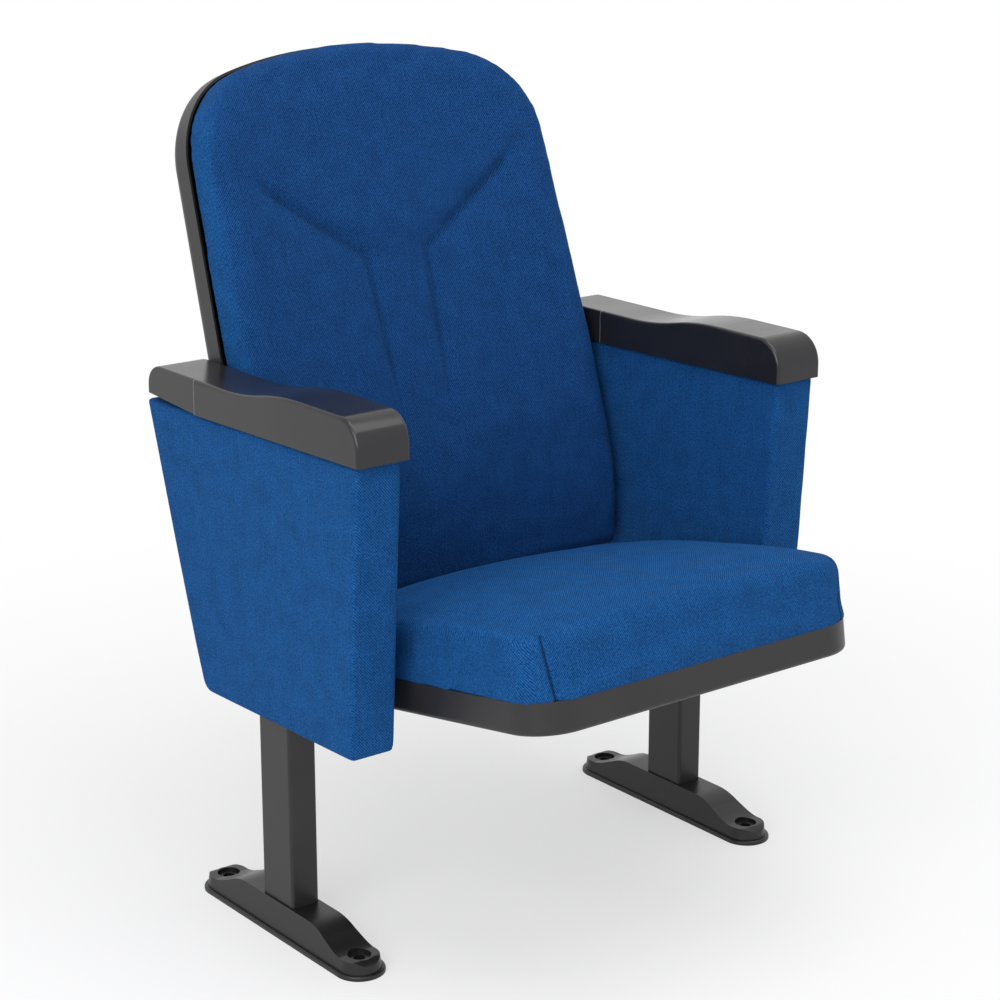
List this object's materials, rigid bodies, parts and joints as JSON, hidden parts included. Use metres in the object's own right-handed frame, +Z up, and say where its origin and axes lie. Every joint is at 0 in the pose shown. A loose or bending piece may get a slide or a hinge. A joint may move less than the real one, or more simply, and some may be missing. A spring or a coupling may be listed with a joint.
{
  "type": "tip-up auditorium seat",
  "caption": "Floor-standing auditorium seat with a tip-up upholstered seat, a fixed padded backrest, upholstered side panels, moulded armrests and two bolt-down feet.",
  "frame": {"origin": "on the floor, at the centre of the four anchor holes: midway between the two legs and between the front and rear holes", "axes": "+Z up, -Y to the front of the seat, +X to the right as seen from the front"},
  "size_m": [0.6394, 0.7039, 0.9412],
  "materials": {
    "blue_fabric": "tight herringbone upholstery weave over foam",
    "black_plastic": "fine grained moulding",
    "armrest_plastic": "semi-gloss moulding with a fine grain",
    "black_steel": "semi-gloss powder coat",
    "zinc_steel": "bright zinc plate",
    "spring_steel": "oiled spring wire",
    "plywood": "raw birch ply",
    "nylon": "natural nylon",
    "rubber": "matt"
  },
  "bodies": {
    "frame": {"back_board": "plywood", "back_cushion": "blue_fabric", "back_shell": "black_plastic", "left_arm_carrier": "black_steel", "left_arm_screws": "zinc_steel", "left_armrest": "armrest_plastic", "left_back_bolts": "zinc_steel", "left_back_bracket": "black_steel", "left_base_plate": "black_steel", "left_foot_cover": "black_steel", "left_inner_board": "plywood", "left_leg_tube": "black_steel", "left_outer_board": "plywood", "left_panel_frame": "plywood", "left_pivot_cup": "black_steel", "left_pivot_pin": "zinc_steel", "left_side_upholstery": "blue_fabric", "pivot_clips": "zinc_steel", "right_arm_carrier": "black_steel", "right_arm_screws": "zinc_steel", "right_armrest": "armrest_plastic", "right_back_bolts": "zinc_steel", "right_back_bracket": "black_steel", "right_base_plate": "black_steel", "right_foot_cover": "black_steel", "right_inner_board": "plywood", "right_leg_tube": "black_steel", "right_outer_board": "plywood", "right_panel_frame": "plywood", "right_pivot_cup": "black_steel", "right_pivot_pin": "zinc_steel", "right_side_upholstery": "blue_fabric", "shell_screws": "zinc_steel"},
    "seat": {"left_hinge_angle": "black_steel", "left_hinge_bolts": "zinc_steel", "left_hinge_plate": "black_steel", "left_pivot_bush": "nylon", "left_tip_spring": "spring_steel", "right_hinge_angle": "black_steel", "right_hinge_bolts": "zinc_steel", "right_hinge_plate": "black_steel", "right_pivot_bush": "nylon", "right_tip_spring": "spring_steel", "seat_board": "plywood", "seat_cushion": "blue_fabric", "seat_tray": "black_plastic", "stop_sleeves": "rubber", "tray_screws": "zinc_steel"}
  },
  "joints": [
    {"name": "seat_tip", "type": "hinge", "parent": "frame", "child": "seat", "pos_m": [0, -0.012, 0.29], "axis": [-1, 0, 0], "range_deg": [0, 72], "stiffness_Nm_per_rad": 1.5, "springref_deg": 85.94}
  ]
}
